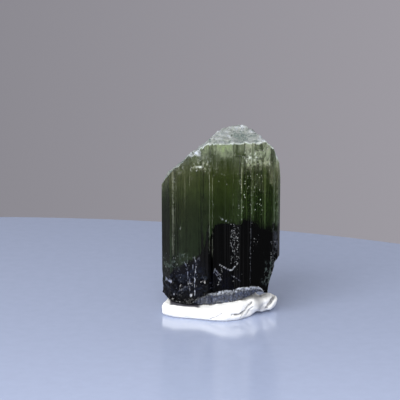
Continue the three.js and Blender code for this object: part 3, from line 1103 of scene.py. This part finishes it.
@dataclass
class Crystal:
    """The see-through crystal and the black body sealed in its foot."""

    placement: Placement
    form: CrystalForm = field(default_factory=CrystalForm)
    whitening: Whitening = field(default_factory=Whitening)
    skin: float = 0.1  # stone over the black body
    front_facing: float = 0.35  # a face whose outward Y is less than this is of the front
    rear_satin: float = 0.42  # how rough the rear's faces are
    seal_rounds: int = 6  # how often the black body's points are drawn in
    walls: BVHTree | None = None  # the see-through crystal's surface, once it is built

    def shape(self, mesh: BMesh, top: Height, foot: Height, inset: float) -> list[Spot]:
        """Moves every point of a unit prism to its place on the crystal, or inset under its surface.

        Args:
            mesh: the unit prism.
            top: the top's height.
            foot: the foot's height.
            inset: how far under the crystal's surface the points end.

        Returns:
            What is known of each point, in the mesh's order.
        """
        form = self.form
        outline = Outline(form.corners)
        columns: dict[tuple[float, float], tuple[float, Vector, float, float, float]] = {}
        spots = []
        for vert in mesh.verts:
            x, y, t = vert.co
            key = (round(x, 4), round(y, 4))
            if key not in columns:
                columns[key] = (*outline.locate(x, y), top(x, y), foot(x, y))
            girth, normal, gap, high, low = columns[key]
            spread = t - form.row_crowding * math.sin(2.0 * math.pi * t)
            z = low + (high - low) * spread
            edge = fade(gap, 0.0, 0.5 + 3.0 * inset)
            ribs = form.rib_depth * abs(grain(girth * 2.3, z * 0.035, 1.0, 2))
            ribs += 0.5 * form.rib_depth * grain(girth * 5.5, z * 0.05, 8.0, 2)
            back = (max(0.0, ribs) + form.fracture(x, z) + inset) * edge
            place = Vector((x - normal.x * back, y - normal.y * back, z))
            is_top, is_foot = t > 0.999, t < 0.001
            if not is_top:
                place.y += form.heel.inset(Vector((x, y, z)), gap, low)
            for step in form.steps:
                place = step.carve(place)
            breaks = []
            for shell in form.shells:
                place, depth = shell.carve(place, inset)
                if depth > 0.0:
                    breaks.append((shell, depth))
            wall = Side.FRONT if normal.y < self.front_facing else Side.REAR
            side = Side.TOP if is_top else Side.FOOT if is_foot else wall
            spots.append(Spot(place, side, girth, gap, high - z, breaks))
            vert.co = place
        return spots

    def dress(self, mesh: BMesh, spots: list[Spot]) -> None:
        """Writes whitening, specks and tint on the mesh's points.

        Args:
            mesh: the crystal's mesh.
            spots: what is known of each point, in the mesh's order.
        """
        frost_and_painted_light = mesh.verts.layers.float.new("frost_and_painted_light")
        sparkle = mesh.verts.layers.float.new("sparkle")
        satin = mesh.verts.layers.float.new("satin")
        bloom = mesh.verts.layers.float_color.new("bloom")
        ground = mesh.verts.layers.float_color.new("ground")
        tints = {kind: tint_of(kind) for kind in Bloom}
        for vert, spot in zip(mesh.verts, spots):
            found = self.whitening.blooms(spot, self.form)
            weights = 0.0001  # so that unmarked stone has a colour to divide by as well
            mixed = tints[Bloom.RIB] * weights
            for strength, kind in found:
                mixed += tints[kind] * strength * strength
                weights += strength * strength
            vert[bloom] = (*(mixed / weights), 1.0)
            # the strongest whitening, painted highlights, reflection and shadow included
            vert[frost_and_painted_light] = clamp(max(strength for strength, _ in found))
            vert[sparkle] = clamp(self.whitening.sparkle(spot, self.form))
            vert[satin] = self.rear_satin if spot.side is Side.REAR else 0.0
            vert[ground] = (*self.whitening.ground(spot, self.form), 1.0)

    def seal(self, mesh: BMesh, walls: BVHTree) -> None:
        """Draws every point of the dark body that comes too near the crystal's surface back under it.

        Args:
            mesh: the dark body.
            walls: the see-through crystal's surface.
        """
        least = 0.5 * self.skin
        for _ in range(self.seal_rounds):
            for vert in mesh.verts:
                wall, outward, _, _ = walls.find_nearest(vert.co)
                if (vert.co - wall).dot(outward) > -least:
                    vert.co = wall - outward * least
            for part in (*mesh.edges, *mesh.faces):
                middle = sum((vert.co for vert in part.verts), Vector()) / len(part.verts)
                wall, outward, _, _ = walls.find_nearest(middle)
                proud = (middle - wall).dot(outward) + 0.7 * least
                if proud > 0.0:
                    for vert in part.verts:
                        vert.co -= outward * proud

    def build_stone(self, material: Material) -> Object:
        """Returns the finished see-through crystal."""
        form = self.form
        mesh = PrismBuilder(Outline(form.corners), *form.stone_grid).build()
        self.dress(mesh, self.shape(mesh, form.etched_top, form.broken_foot, 0.0))
        self.walls = BVHTree.FromBMesh(mesh)
        return finish_piece(mesh, "crystal_stone", material, self.placement, sharp_degrees=32.0)

    def build_black_body(self, material: Material) -> Object:
        """Returns the dark body sealed in the foot."""
        form = self.form
        mesh = PrismBuilder(Outline(form.corners), *form.zone_grid).build()
        self.shape(mesh, form.zone_top, lambda x, y: form.broken_foot(x, y) + self.skin, self.skin)
        self.seal(mesh, self.walls)
        return finish_piece(mesh, "crystal_black_zone", material, self.placement, sharp_degrees=60.0)


def finish_piece(
    mesh: BMesh, name: str, material: Material, placement: Placement, sharp_degrees: float
) -> Object:
    """Turns a drawing-frame mesh into a piece of the part.

    Args:
        mesh: the mesh in drawing millimetres; it is used up.
        name: the piece's name.
        material: its finish.
        placement: where the drawing frame lies.
        sharp_degrees: edges that turn more than this stay crisp.

    Returns:
        The piece, riding on the part's one body.
    """
    many_sided = [f for f in mesh.faces if len(f.verts) > 4]
    if many_sided:
        bmesh.ops.triangulate(mesh, faces=many_sided)
    bmesh.ops.transform(mesh, matrix=placement.matrix(), verts=mesh.verts[:])
    bmesh.ops.recalc_face_normals(mesh, faces=mesh.faces[:])
    limit = math.radians(sharp_degrees)
    for face in mesh.faces:
        face.smooth = True
    for edge in mesh.edges:
        edge.smooth = edge.calc_face_angle(0.0) < limit
    piece = add_mesh_object(name, mesh, material)
    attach(piece, "root")
    LOG.info("%s: %d faces", name, len(piece.data.polygons))
    return piece


@dataclass
class PuttyPad:
    """The pressed pad of putty with its folded-over right end."""

    placement: Placement
    outline: tuple[Point2, ...] = (
        *((-7.6, 0.6), (-8.15, -2.05), (-6.5, -3.35), (-3.6, -4.1), (-1.4, -4.95), (0.7, -5.3), (2.6, -4.55)),
        *((4.35, -2.8), (5.1, -0.9), (5.3, 1.8), (4.4, 4.3), (0.6, 5.5), (-4.2, 4.8), (-6.6, 2.9)),
    )
    thickness: float = 1.9
    edge_radius: float = 0.4
    voxel: float = 0.1
    folds: tuple[Scratch, ...] = (  # where the putty was folded over or cracked as it was pressed
        Scratch(((4.3, 1.75), (3.7, 1.3), (3.2, 0.95), (2.5, 0.72), (1.6, 0.78)), 0.13, 0.95, broken=0.8),
        Scratch(((3.2, 0.95), (2.9, 0.6), (2.75, 0.3)), 0.1, 0.6),
        Scratch(((4.4, 1.2), (3.9, 0.8), (3.6, 0.5)), 0.12, 0.6, broken=0.8),
        Scratch(((0.1, 1.1), (-0.5, 0.8), (-1.3, 0.45)), 0.1, 0.6, broken=0.8),
        Scratch(((-5.2, 0.45), (-4.3, 0.35)), 0.1, 0.25),
        Scratch(((7.45, 2.15), (7.1, 1.85), (6.75, 1.4), (6.5, 0.95)), 0.2, 1.0, broken=0.3),
    )
    rise: tuple[Point2, ...] = (  # how much thicker or thinner the pad is along X
        *((-8.0, 0.86), (-6.0, 0.8), (-3.1, 0.72), (-1.5, 0.85), (0.7, 1.12)),
        *((3.0, 1.25), (4.6, 1.25), (6.0, 1.0)),
    )
    lobes: tuple[tuple[Point3, Point3, float, float], ...] = (  # middle, half sizes, turn and climb
        ((3.7, -1.2, 1.2), (2.4, 2.2, 1.1), 0.0, 12.0),
        ((4.9, 1.1, 0.9), (1.9, 2.3, 1.05), 0.0, 0.0),
        ((6.4, 1.2, 0.95), (1.5, 2.2, 1.1), -22.0, 0.0),
        ((5.9, 0.5, 0.95), (1.9, 2.2, 0.95), 0.0, 10.0),
        ((7.0, 0.0, 1.15), (1.3, 1.5, 0.48), 0.0, 42.0),
        ((6.1, -0.1, 1.75), (1.35, 1.5, 0.55), 0.0, 22.0),
    )
    smoothings: int = 14  # how often the fused lump is softened

    def slab(self) -> BMesh:
        """Returns the pad's plain slab with rounded edges."""
        mesh = bmesh.new()
        ring = [mesh.verts.new((x, y, 0.0)) for x, y in self.outline]
        bottom = mesh.faces.new(ring)
        bmesh.ops.subdivide_edges(mesh, edges=mesh.edges[:], cuts=3, smooth=0.6)
        raised = bmesh.ops.extrude_face_region(mesh, geom=[bottom], use_keep_orig=True)
        top_verts = [g for g in raised["geom"] if isinstance(g, BMVert)]
        bmesh.ops.translate(mesh, verts=top_verts, vec=(0.0, 0.0, self.thickness))
        bmesh.ops.recalc_face_normals(mesh, faces=mesh.faces[:])
        rims = [e for e in mesh.edges if len(e.link_faces) == 2 and e.calc_face_angle(0.0) > 1.2]
        bevel = {"affect": "EDGES", "segments": 4, "profile": 0.5, "material": -1}
        bmesh.ops.bevel(mesh, geom=rims, offset=self.edge_radius, **bevel)
        return mesh

    def add_lobe(self, mesh: BMesh, centre: Point3, radii: Point3, turn: float, climb: float) -> None:
        """Adds one rounded lump to the pad.

        Args:
            mesh: the pad.
            centre: the lump's middle.
            radii: its half sizes.
            turn: degrees about Z.
            climb: degrees that its right end is tipped up.
        """
        made = bmesh.ops.create_icosphere(mesh, subdivisions=4, radius=1.0)
        spin = turned(turn, "Z", 4) @ turned(-climb, "Y", 4)
        matrix = Matrix.Translation(centre) @ spin @ Matrix.Diagonal((*radii, 1.0))
        bmesh.ops.transform(mesh, matrix=matrix, verts=made["verts"])

    def press(self, mesh: BMesh) -> None:
        """Softens the pad, gives it the dents and folds of hand-pressed putty, and paints shade into it."""
        axes = {"use_axis_x": True, "use_axis_y": True, "use_axis_z": True}
        for _ in range(self.smoothings):
            bmesh.ops.smooth_vert(mesh, verts=mesh.verts[:], factor=0.5, **axes)
        mesh.normal_update()
        painted_shade = mesh.verts.layers.float.new("painted_shade")
        moves = []
        for vert in mesh.verts:
            x, y, z = vert.co
            dent = 0.09 + 0.12 * grain(x * 0.45, y * 0.45, z * 0.6)
            dent += 0.05 * grain(x * 1.4, y * 1.4, z * 1.8, 2)
            fold = 0.0
            if vert.normal.y < 0.3:
                fold = max(mark.nearness(x, z) for mark in self.folds)
            # the waist and the shaded valley before the curled end, and the shade under the stone's foot
            waist = fade(abs(x - 6.1 + 0.65 * (z - 0.8)), 0.1, 0.7) * ease(y, -3.6, -2.0)
            stone_front = -4.1 - 0.3 * x
            taper = 0.55 * ease(x, -5.5, -2.9)
            shaded = ease(x, -7.2, -6.9) * fade(x, -3.2, -2.6) * ease(y - stone_front - taper, -0.6, -0.38)
            off_valley = abs(x - 5.9 + 0.64 * (z - 0.7))
            valley = 0.42 * fade(off_valley, 0.2, 1.2) * ease(z, 0.2, 0.9) * fade(y, 0.0, 1.5)
            # painted shade: the folds, the valley and the stone's shadow under its foot darken the colour
            vert[painted_shade] = clamp(0.85 * fold + valley + shaded * ease(vert.normal.z, 0.5, 0.9))
            out = dent * ease(z, 0.05, 0.6) - 0.3 * fold - 0.2 * waist * ease(z, 0.1, 0.6)
            moves.append(vert.normal * out)
        for vert, move in zip(mesh.verts, moves):
            vert.co += move
            vert.co.z = vert.co.z * along_profile(self.rise, vert.co.x) if vert.co.z > 0.06 else 0.0

    def build(self, material: Material) -> Object:
        """Returns the finished pad."""
        mesh = self.slab()
        for lobe in self.lobes:
            self.add_lobe(mesh, *lobe)
        mesh = fused(mesh, self.voxel)
        self.press(mesh)
        return finish_piece(mesh, "putty_lump", material, self.placement, sharp_degrees=80.0)


def fused(mesh: BMesh, voxel: float) -> BMesh:
    """Melts overlapping closed lumps into one closed skin.

    Args:
        mesh: the lumps; it is used up.
        voxel: the grid size of the new skin.

    Returns:
        The new mesh.
    """
    lumps = add_mesh_object("lumps", mesh)
    data = lumps.data
    remesh = lumps.modifiers.new("fuse", "REMESH")
    remesh.mode = "VOXEL"
    remesh.voxel_size = voxel
    skin = bmesh.new()
    bpy.context.view_layer.update()
    skin.from_object(lumps, bpy.context.evaluated_depsgraph_get())
    bpy.data.objects.remove(lumps)
    bpy.data.meshes.remove(data)
    return skin


@dataclass
class Studio:
    """Plain pale table, plain backdrop, soft light and the camera."""

    placement: Placement
    elevation: float = 12.0  # degrees
    lens: float = 120.0
    distance: float = 185.18
    target: Point3 = (-2.85, 0.0, 16.04)
    fill: float = 0.7  # light from all round, for dull surfaces
    table_radius: float = 145.3
    table_middle: Point3 = (-43.8, -84.9, 0.0)
    table_gap: float = 0.01  # under the pad, so that the two don't share a plane

    def camera(self) -> None:
        """Sets the camera up at its viewing angle."""
        data = bpy.data.cameras.new("camera")
        data.lens = self.lens
        data.sensor_width = 36.0
        data.clip_start = 0.005
        data.clip_end = 20.0
        rise = math.radians(self.elevation)
        camera = add_object("camera", data)
        x, y, z = self.target
        away, up = self.distance * math.cos(rise), self.distance * math.sin(rise)
        camera.location = self.placement.point(x, y - away, z + up)
        camera.rotation_euler = (math.pi / 2 - rise, 0.0, 0.0)
        bpy.context.scene.camera = camera

    def table(self) -> None:
        """Makes the round pale table top, whose edge fades softly."""
        material, graph = new_material("table_top")
        speckle = graph.noise(graph.place(), 0.6, 3.0, 0.6)
        colour = graph.mix(speckle, from_hex("#A2ADC8"), from_hex("#AAB5D2"))
        graph.finish(graph.add("ShaderNodeBsdfPrincipled", Base_Color=colour, Roughness=0.18, IOR=2.5))
        mesh = bmesh.new()
        bmesh.ops.create_circle(mesh, cap_ends=True, segments=256, radius=self.table_radius)
        bmesh.ops.translate(mesh, verts=mesh.verts[:], vec=self.table_middle)
        bmesh.ops.transform(mesh, matrix=self.placement.matrix(), verts=mesh.verts[:])
        bmesh.ops.translate(mesh, verts=mesh.verts[:], vec=(0.0, 0.0, -self.table_gap * MM))
        table = add_mesh_object("table_top", mesh, material)
        table.visible_glossy = False

    def backdrop(self) -> None:
        """Sets the plain grey surroundings, lit from above and dim on the viewer's side."""
        world = bpy.data.worlds.new("backdrop")
        bpy.context.scene.world = world
        world.use_nodes = True
        graph = Graph(world.node_tree, "ShaderNodeOutputWorld")
        heading = graph.add("ShaderNodeTexCoord").outputs["Generated"]
        axes = graph.add("ShaderNodeSeparateXYZ", Vector=heading).outputs
        rays = graph.add("ShaderNodeLightPath").outputs

        # the backdrop itself: a little lighter to the right
        wall = graph.ramp(axes["X"], (-0.17, 0.15), (0.0, 1.0))
        wall = graph.mix(wall, from_hex("#8B8990"), from_hex("#9D9AA1"))
        # what a polished face mirrors: a dim room in front with a pale wall at its left, a soft ceiling above
        to_left = Vector((-0.72, -0.66, -0.15)).normalized()
        leftward = graph.add("ShaderNodeVectorMath", {"operation": "DOT_PRODUCT"}, i0=heading, i1=to_left)
        ceiling = graph.ramp(axes["Z"], (0.31, 0.72), (0.0, 0.9))
        behind = graph.ramp(axes["Y"], (-0.2, 0.3), (0.065, 0.13))
        left_wall = graph.ramp(leftward.outputs["Value"], (0.8, 0.97), (0.0, 0.12))
        below = graph.ramp(axes["Z"], (-0.35, -0.7), (0.0, 1.0))
        mirrored = graph.maths("ADD", graph.maths("ADD", ceiling, behind), left_wall)
        mirrored = graph.mix(1.0, mirrored, from_hex("#F4F6FF"), "MULTIPLY")
        room = graph.mix(below, mirrored, from_hex("#8E9BB8"))
        not_through = graph.maths("SUBTRACT", 1.0, rays["Is Transmission Ray"])
        is_mirror = graph.maths("MULTIPLY", rays["Is Glossy Ray"], not_through)
        seen = graph.mix(is_mirror, wall, room)
        lit = graph.mix(rays["Is Diffuse Ray"], seen, (self.fill, self.fill, self.fill * 1.03, 1.0))
        graph.finish(graph.add("ShaderNodeBackground", Color=lit, Strength=1.0))

    def soft_light(self, name: str, place: Point3, size: float, power: float) -> None:
        """Adds a square soft light aimed at the crystal.

        Args:
            name: the light's name.
            place: where it hangs, in drawing millimetres.
            size: its side in millimetres.
            power: its power in watts.
        """
        data = bpy.data.lights.new(name, "AREA")
        data.shape = "SQUARE"
        data.size = size * MM
        data.energy = power
        light = add_object(name, data)
        light.location = self.placement.point(*place)
        aim = self.placement.point(0.0, 0.0, 10.0) - light.location
        light.rotation_euler = aim.to_track_quat("-Z", "Y").to_euler()

    def build(self) -> None:
        """Sets up everything around the part."""
        self.camera()
        self.table()
        self.backdrop()
        self.soft_light("key", (-125.0, -200.0, 215.0), 200.0, 0.76)
        self.soft_light("front", (0.0, -120.0, 70.0), 60.0, 0.06)
        scene = bpy.context.scene
        scene.view_settings.view_transform = "Standard"
        scene.cycles.max_bounces = 24
        scene.cycles.transmission_bounces = 20
        scene.cycles.transparent_max_bounces = 12


def main() -> None:
    """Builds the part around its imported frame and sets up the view."""
    logging.basicConfig(level=logging.INFO, format="%(name)s: %(message)s")
    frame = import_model()
    LOG.info("frame nodes: %s", ", ".join(frame["nodes"]))
    placement = Placement.from_frame(left_edge=-8.1, rear_edge=7.1)
    studio = Studio(placement)
    studio.build()

    crystal = Crystal(placement)
    stone = crystal.build_stone(Tourmaline().build())
    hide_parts("tourmaline_crystal")
    black = crystal.build_black_body(BlackZone().build())
    pad = PuttyPad(placement).build(MountingPutty().build())
    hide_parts("putty_pad")


if __name__ == "__main__":
    main()
